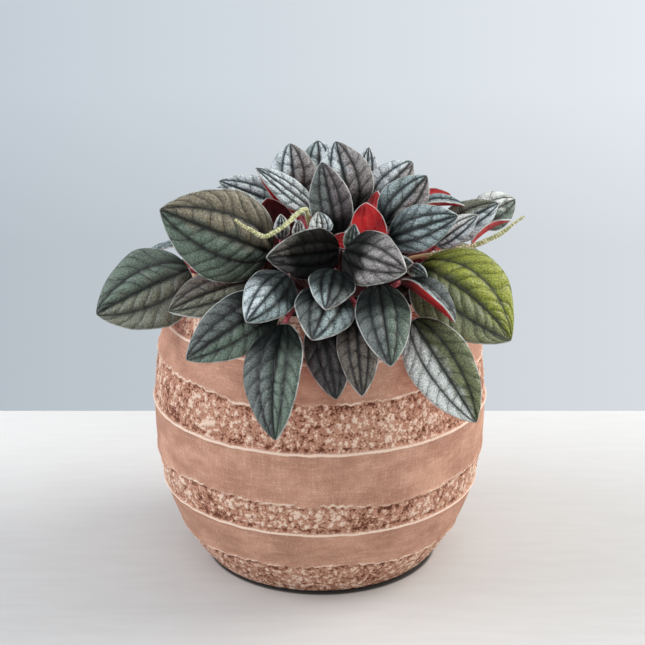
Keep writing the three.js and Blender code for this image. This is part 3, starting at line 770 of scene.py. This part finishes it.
def build_pot():
    angles = 2 * math.pi * (np.arange(POT_COLUMNS) + 0.5) / POT_COLUMNS
    angle, z = (grid.ravel() for grid in np.meshgrid(angles, pot_heights()))
    relief, marks = pot_relief(angle, z)
    at_foot, at_rim = RELIEF_FADE
    fade = ramp(z, 0, at_foot) * (1 - ramp(z, POT_HEIGHT - at_rim, POT_HEIGHT))
    outside = around(pot_radius(z) + relief * fade, angle, z)
    below, above = (rings(profile, angles) for profile in pot_profiles())
    vertices = np.concatenate([below, outside, above])
    numbers = {key: np.concatenate([np.zeros(len(below)), middle, np.zeros(len(above))])
               for key, middle in marks.items()}
    chalk = numbers["chalk"]
    chalk[:len(below)] = FOOT_CHALK
    chalk[-len(above):] = INSIDE_CHALK
    chalk[-len(above):][:RIM_CHALK_ROWS * POT_COLUMNS] = RIM_CHALK
    faces = closed_faces(len(vertices) // POT_COLUMNS, POT_COLUMNS)
    make_piece("globe_pot", Body(vertices, faces, numbers), [pot_material()], "pot", "pot")


# ---- soil ----
def soil_radius(z):
    """Radius of the potting mix at a height, just clear of the wall."""
    return float(pot_radius(z)) - POT_WALL - GAP


def build_soil():
    """The potting mix, which fills the pot up to a lumpy mound."""
    angles = turns(SOIL_COLUMNS)
    outer = soil_radius(SOIL_LEVEL)
    radii = np.linspace(SOIL_MIDDLE, outer, SOIL_RINGS)
    radius, angle = (grid.ravel() for grid in np.meshgrid(radii, angles, indexing="ij"))
    top = around(radius, angle, SOIL_LEVEL + SOIL_MOUND * (1 - (radius / outer) ** 2))
    lumps = 1 - ramp(lump_distance(top, SOIL_LUMP_SIZE, 81)[0], 0.1, 0.8)
    rise = 1.6 * lumps + 1.1 * smooth_noise(top, 4, 82) + 0.6 * smooth_noise(top, 1.8, 83)
    top[:, 2] += rise - 1.0
    bottom = POT_FLOOR + GAP
    below = [(soil_radius(z), z) for z in SOIL_DEPTHS]
    below += [(soil_radius(POT_FLOOR), bottom), (SOIL_MIDDLE, bottom)]
    vertices = np.concatenate([top, rings(below, angles)])
    faces = closed_faces(len(vertices) // SOIL_COLUMNS, SOIL_COLUMNS)
    faces = [tuple(reversed(face)) for face in faces]
    make_piece("potting_soil", Body(vertices, faces), [soil_material()], "soil", "soil")


# ---- crown and petioles ----
def leaf_turn(leaf):
    """The turn from a blade's own frame to the plant's."""
    angles = (-leaf.roll, -leaf.pitch, leaf.heading)
    return Euler([math.radians(angle) for angle in angles]).to_matrix()


def petiole_points(leaf, root, root_radius):
    """Points along a leaf's petiole, from inside its crown to the foot of its blade."""
    in_line = HANGING_IN_LINE if leaf.pitch < HANGING_PITCH else PETIOLE_IN_LINE
    backward = leaf_turn(leaf) @ Vector((-in_line, 0, -1)).normalized()
    end = Vector(leaf.foot) + backward * (PETIOLE_END * BLADE_THICKNESS)
    outward = Vector((end.x - root.x, end.y - root.y, 0))
    slope = max(PETIOLE_LEAST_RISE, 0.9 * (end.z - root.z) / outward.length)
    outward.normalize()
    start = root + outward * root_radius
    span = (end - start).length
    rise = Vector((outward.x, outward.y, slope)).normalized()
    near = start + rise * (0.35 * span)
    far = end + backward * min(0.28 * span, PETIOLE_APPROACH)
    shares = np.linspace(0, 1, PETIOLE_STEPS)[:, None]
    a, b, c, d = (np.array(p) for p in (start, near, far, end))
    return ((1 - shares) ** 3 * a + 3 * (1 - shares) ** 2 * shares * b
            + 3 * (1 - shares) * shares ** 2 * c + shares ** 3 * d)


def sweep(points, radii, sides, swell=None):
    """Vertices and faces of a round tube along points; swell adds to its radius at each place."""
    along = np.gradient(points, axis=0)
    along /= np.linalg.norm(along, axis=1)[:, None]
    side = np.cross(along[0], (0.3, 0.1, 1.0))
    angles = turns(sides)
    tube = []
    for index, (point, forward, radius) in enumerate(zip(points, along, radii)):
        side = side - forward * (side @ forward)
        side /= np.linalg.norm(side)
        up = np.cross(forward, side)
        reach = radius + (swell[index] if swell is not None else 0)
        offsets = np.outer(np.cos(angles), side) + np.outer(np.sin(angles), up)
        tube.append(point + offsets * np.reshape(reach, (-1, 1)))
    return np.concatenate(tube), closed_faces(len(points), sides)


def petiole(leaf, root, root_radius):
    """A leaf's petiole, with painted shade near the middle of the plant, low down and under shaded
    blades.
    """
    thin = 0.8 if leaf.length < SMALL_LEAF else 1
    radii = thin * PETIOLE_RADIUS * np.linspace(*PETIOLE_TAPER, PETIOLE_STEPS)
    vertices, faces = sweep(petiole_points(leaf, root, root_radius), radii, PETIOLE_SIDES)
    x, y, z = vertices.T
    from_root = np.hypot(x - root.x, y - root.y)
    old = 0.92 * (1 - ramp(from_root, *DARK_REACH)) * (1 - ramp(z, *DARK_TOP))
    old = np.maximum(old, 0.92 * (1 - ramp(z, *DARK_HEIGHTS)))
    old = np.maximum(old, 0.9 * ramp(leaf.dark, *DARK_BLADES))
    return Body(vertices, faces, {"old": old})


def crown(middle, profile):
    """A knobbly upright crown round middle, painted all over in the shade colour."""
    vertices = rings(profile, turns(CROWN_COLUMNS))
    knobs = 1 - ramp(lump_distance(vertices, KNOB_SIZE, 91)[0], 0.1, 0.7)
    vertices[:, :2] *= (CROWN_LEAST + KNOB_HEIGHT * knobs)[:, None]
    vertices[:, :2] += middle
    return Body(vertices, closed_faces(len(profile), CROWN_COLUMNS), {"old": 1.0})


def build_petioles():
    """The crown with the petioles of all single blades."""
    root = Vector((*CROWN, PETIOLE_ROOT_Z))
    bodies = [petiole(leaf, root, PETIOLE_ROOT_RADIUS) for leaf in LEAVES]
    bodies.append(crown(CROWN, CROWN_PROFILE))
    make_piece("petioles", joined(bodies), [petiole_material()], "petiole", "stems")


# ---- flower spikes ----
def smooth_route(route, steps):
    """Evenly spaced points on a smooth curve through the route's points, and its length."""
    points = np.array(route, float)
    padded = np.vstack([2 * points[0] - points[1], points, 2 * points[-1] - points[-2]])
    curve = []
    for i in range(1, len(padded) - 2):
        a, b, c, d = padded[i - 1 : i + 3]
        knots = [0.0]
        for near, far in ((a, b), (b, c), (c, d)):
            knots.append(knots[-1] + math.sqrt(np.linalg.norm(far - near)))
        gap = knots[2] - knots[1]
        leave = (b - a) / knots[1] - (c - a) / knots[2] + (c - b) / gap
        reach = (c - b) / gap - (d - b) / (knots[3] - knots[1]) + (d - c) / (knots[3] - knots[2])
        t = np.linspace(0, 1, 20, endpoint=False)[:, None]
        curve.append((2 * t**3 - 3 * t**2 + 1) * b + (t**3 - 2 * t**2 + t) * gap * leave
                     + (3 * t**2 - 2 * t**3) * c + (t**3 - t**2) * gap * reach)
    curve = np.concatenate([*curve, points[-1:]])
    length = np.concatenate([[0], np.cumsum(np.linalg.norm(np.diff(curve, axis=0), axis=1))])
    even = np.linspace(0, length[-1], steps)
    return np.stack([np.interp(even, length, curve[:, k]) for k in range(3)], axis=-1), length[-1]


def build_spike(name, bare, route):
    """A flower spike: a bare stalk, and a longer stretch that is packed with minute flowers."""
    points, length = smooth_route(route, SPIKE_STEPS)
    points = points + SPIKE_WANDER * noise_push(points, 7, 100)
    share = np.linspace(0, 1, SPIKE_STEPS)
    flowering = ramp(share, bare - 0.02, bare + 0.04)
    turn = turns(SPIKE_SIDES)
    run = (share * length)[:, None]
    lattice = np.sin(3 * turn + 2.3 * run) * np.sin(3 * turn - 2.3 * run)
    uneven = smooth_noise(around(1, turn, run), 0.8, 107)
    grains = np.clip(0.35 + 0.4 * lattice + 0.5 * uneven, 0, 1)
    tip = 1 - 0.45 * ramp(share, 0.8, 1.0)
    radii = SPIKE_RADIUS * np.where(share < bare, STALK_SHARE, FLOWERS_SHARE * tip)
    radii = radii * (1 + 0.12 * smooth_noise(points, 3, 105))
    swell = FLOWER_HEIGHT * (grains - 0.35) * flowering[:, None]
    vertices, faces = sweep(points, radii, SPIKE_SIDES, swell)
    numbers = {"grain": (grains * flowering[:, None]).ravel(),
               "stalk": np.repeat(1 - flowering, SPIKE_SIDES)}
    body = Body(vertices, faces, numbers)
    make_piece(name, body, [spike_material()], "flower_spike", f"flower_{name}")


# ---- blades ----
def blade_share(along):
    """Half the blade's width at a share of its length: rounded at the foot, pointed at the tip."""
    return BLADE_FULLNESS * along**FOOT_POWER * (1 - along) ** TIP_POWER


def blade_columns(width):
    """Places across a blade, from -1 to 1, close together at the margin."""
    half = []
    for low, high in itertools.pairwise((*GROOVES, MARGIN[0])):
        count = int(np.clip((high - low) * width / 2 / BLADE_STEP, 1, 12))
        half += [low + (high - low) * k / count for k in range(count)]
    half = np.array([*half, *MARGIN])
    return np.concatenate([-half[:0:-1], half])


def blade_grid(leaf):
    """Shares of the way along and across a blade, at each of its vertices."""
    rows = int(np.clip(leaf.length / BLADE_STEP, 16, 80))
    along = 0.5 - 0.5 * np.cos(math.pi * (np.arange(rows) + 1) / (rows + 1))
    return np.meshgrid(along, blade_columns(leaf.width), indexing="ij")


def panel_puff(wide, phase):
    """How far the panels puff up between grooves and side veins, from 0 to 1."""
    groove = GROOVES[1]
    share = (wide - groove) / (1 - groove)
    outer = np.sin(math.pi * 0.62 * np.maximum(share, 0)) ** 0.75 * (1 - 0.8 * ramp(share, 0.75, 1))
    inner = np.sin(math.pi * np.minimum(wide / groove, 1)) ** 0.75
    puff = np.where(wide >= groove, outer, inner)
    return puff * (1 - QUILTING * bell((phase + 0.5) % 1 - 0.5, VEIN_WIDTH))


def groove_marks(wide, half, width, place):
    """Distance from the nearest groove, how strong it is there, and its shade."""
    offsets = np.abs(wide[..., None] - np.array(GROOVES))
    nearest = offsets.argmin(-1)
    near = offsets.min(-1) * half
    strength = np.array(GROOVE_STRENGTH)[nearest] * (0.8 + 0.3 * smooth_noise(place, 0.8, 27))
    return near, strength, strength * bell(near, np.array(GROOVE_SOFTNESS)[nearest] * width)


def blade_surface(leaf, seed, u, v):
    """Middle surface of a blade in its own frame, with the numbers its materials read."""
    length, width = leaf.length, leaf.width
    wide, right_side = np.abs(v), v < 0
    share = blade_share(u)
    half = 0.5 * width * share
    place = np.stack([u * length / PATCH, v * width / (2 * PATCH), np.full_like(u, seed)], axis=-1)
    outer_panel = wide >= GROOVES[1]
    phase = max(length / VEIN_SPACING, 3) * (u - VEIN_SLANT * wide ** 1.25 * width / length)
    phase += np.where(right_side, 1.37, 0) + 0.31 * outer_panel
    phase += 0.5 * smooth_noise(place, 1.3, 7) + 0.17 * seed
    puff = panel_puff(wide, phase)
    swell = SWELL * width * puff * np.where(outer_panel, PANEL_PUFF[1], PANEL_PUFF[0])
    swell = swell * (1 + 0.3 * smooth_noise(place, 1, 17))
    crease = np.sqrt(wide**2 + 0.0004) - 0.02
    slope = leaf.fold * crease - EDGE_CURL * wide**2
    ripple = np.sin(9 * u + 2.3 * seed + np.where(right_side, 2, 0)) * MARGIN_WAVE * width * wide**3
    arch = 4 * leaf.arch * length * u * (1 - u)
    height = arch + share * (swell + 0.5 * width * slope + ripple)
    y = half * v * (1 + OUTLINE_WAVE * np.sin(17 * u + seed) * wide)
    near, strength, shade = groove_marks(wide, half, width, place)
    # Painted light and shade: the panels' crests are lit, more so towards the tip, and painted
    # shade falls by the grooves.
    light = puff**0.4 * (0.7 + 0.3 * ramp(u, 0.15, 0.6)) - 0.65 * shade
    # painted shade over the share of the blade, from its foot, that lies in the dark
    off_foot = u + 0.1 * smooth_noise(place, 0.6, 37)
    gloom = 1 - ramp(off_foot, leaf.dark - 0.15, leaf.dark + 0.18)
    edge = np.minimum(half * (1 - wide), np.minimum(u, 1 - u) * length)
    numbers = {"edge": edge, "groove": near, "depth": strength, "phase": phase, "across": v,
               "light": light, "gloom": gloom}
    return np.stack([u * length, y, height], axis=-1), numbers


def blade_halves(leaf, middle, u, v):
    """Vertices of a blade's upper and lower face, and then its foot and its tip."""
    ends = np.sqrt(ramp(np.minimum(u, 1 - u), -0.02, 0.06))
    half = 0.5 * BLADE_THICKNESS * np.sqrt(1 - np.abs(v) ** 10) * ends
    rise = np.stack([np.zeros_like(half), np.zeros_like(half), half], axis=-1)
    tips = np.array([[0, 0, 0], [leaf.length, 0, 0]])
    return np.concatenate([(middle + rise).reshape(-1, 3), (middle - rise).reshape(-1, 3), tips])


def blade_faces(rows, columns):
    """Faces of a closed blade, and the material index of each: 0 above, 1 below and round it."""
    size = rows * columns
    foot, tip = 2 * size, 2 * size + 1
    upper = [tuple(reversed(face)) for face in grid_faces(rows, columns, closed=False)]
    for i in range(columns - 1):
        upper.append((foot, i, i + 1))
        upper.append((tip, (rows - 1) * columns + i + 1, (rows - 1) * columns + i))
    lower = [tuple(v + size if v < size else v for v in reversed(face)) for face in upper]
    sides = []
    for column, order in ((0, 1), (columns - 1, -1)):
        chain = [foot] + [j * columns + column for j in range(rows)] + [tip]
        for a, b in itertools.pairwise(chain):
            lower_a, lower_b = (x + size if x < size else x for x in (a, b))
            sides.append(tuple(dict.fromkeys((a, lower_a, lower_b, b)))[::order])
    return upper + lower + sides, [0] * len(upper) + [1] * (len(lower) + len(sides))


def blade(leaf, seed):
    """A leaf's blade in its place on the plant."""
    u, v = blade_grid(leaf)
    middle, numbers = blade_surface(leaf, seed, u, v)
    vertices = blade_halves(leaf, middle, u, v) @ np.array(leaf_turn(leaf)).T + leaf.foot
    faces, parts = blade_faces(*u.shape)
    numbers = {key: np.concatenate([n.ravel(), n.ravel(), [n[0].mean(), n[-1].mean()]])
               for key, n in numbers.items()}
    return Body(vertices, faces, numbers, parts)


def build_leaf(index):
    leaf = LEAVES[index]
    materials = [leaf_top_material(leaf.left, leaf.right), leaf_back_material()]
    number = f"{index + 1:02d}"
    make_piece(f"blade_{number}", blade(leaf, index), materials, "leaf", f"leaf_{number}")


# ---- sprays ----
def draw(seed):
    """A number from -1 to 1, always the same one for the same seed."""
    wave = 43758.5453 * math.sin(12.9898 * seed + 4.1)
    return 2 * (wave - math.floor(wave)) - 1


def spray_leaves(index):
    """The leaves of a spray."""
    facing = SPRAYS[index][0]
    leaves = []
    for place, (turn, distance, height, pitch, roll, length, width) in enumerate(SPRAY_LEAVES):
        seed = 10 * index + 2 * place
        stray = [most * draw(seed + 50 * k) for k, most in enumerate(SPRAY_WANDER)]
        heading = facing + turn + stray[0]
        foot = (*heading_place(heading, distance), height)
        tones = SPRAY_TONES[(place + 2 * index) % len(SPRAY_TONES)]
        leaves.append(Leaf(foot, heading, pitch + stray[1], roll + stray[2], length + stray[3],
                           width, *tones, SPRAY_DARK, SPRAY_FOLD, SPRAY_ARCH))
    return leaves


def build_spray(index):
    """A side crown with its petioles and blades, in one piece as in the model."""
    name = f"spray_{index + 1:02d}"
    middle = heading_place(*SPRAYS[index])
    root = Vector((*middle, SIDE_ROOT_Z))
    materials = [petiole_material(), leaf_back_material()]
    bodies = [crown(middle, SIDE_CROWN_PROFILE)]
    for place, leaf in enumerate(spray_leaves(index)):
        single = blade(leaf, 60 + 5 * index + place)
        parts = [1 if part else len(materials) for part in single.parts]
        materials.append(leaf_top_material(leaf.left, leaf.right))
        bodies += [petiole(leaf, root, SIDE_ROOT_RADIUS), single._replace(parts=parts)]
    make_piece(f"{name}_leaves", joined(bodies), materials, "leaf", name)


# ---- stage ----
def build_table():
    low = (-TABLE_HALF_WIDTH, TABLE_FRONT, -TABLE_THICKNESS)
    high = (TABLE_HALF_WIDTH, TABLE_BACK_EDGE, 0)
    corners = list(itertools.product(*zip(low, high)))
    faces = [(0, 1, 3, 2), (4, 6, 7, 5), (0, 4, 5, 1), (2, 3, 7, 6), (0, 2, 6, 4), (1, 5, 7, 3)]
    table = new_mesh("table_top", corners, faces, [floor_material()])
    bevel = table.modifiers.new("edges", "BEVEL")
    bevel.width = TABLE_BEVEL
    bevel.segments = 3


def build_sky():
    """A pale surround, a little brighter on the right and dimmer towards the table."""
    make = Nodes(bpy.data.worlds.new("studio"), "Background")
    where = make.add("TexCoord", {}, "Generated")
    across, height = (make.add("SeparateXYZ", {"Vector": where}, axis) for axis in "XZ")
    side = make.range(across, *SKY_SPREAD, curve="LINEAR")
    dim = make.range(height, *SKY_DIM_HEIGHTS, SKY_DIM, 1, curve="LINEAR")
    bpy.context.scene.world = make.finish(Color=make.mix(side, *SKY_COLOURS), Strength=dim)


def aim(item, place):
    """Puts a lamp or the camera in its place, in metres, and turns it to the plant."""
    item.location = place
    item.rotation_euler = (VIEW_AIM - Vector(place)).to_track_quat("-Z", "Y").to_euler()


def add_lamp(name, place, size, power, colour):
    light = bpy.data.lights.new(name, "AREA")
    light.size = size
    light.energy = power
    light.color = seen(colour)[:3]
    aim(new_object(name, light), place)


def build_camera():
    camera = new_object("camera", bpy.data.cameras.new("camera"))
    back = Vector((0, -math.cos(VIEW_ELEVATION), math.sin(VIEW_ELEVATION)))
    aim(camera, VIEW_AIM + back * VIEW_DISTANCE)
    camera.data.lens = VIEW_LENS
    bpy.context.scene.camera = camera


# ---- the scene ----
build_camera()
build_table()
build_sky()
for lamp_row in LAMPS:
    add_lamp(*lamp_row)
bpy.context.scene.view_settings.view_transform = "Standard"

build_pot()
build_soil()
build_petioles()
for spike_row in SPIKES:
    build_spike(*spike_row)
for leaf_index in range(len(LEAVES)):
    build_leaf(leaf_index)
for spray_index in range(len(SPRAYS)):
    build_spray(spray_index)
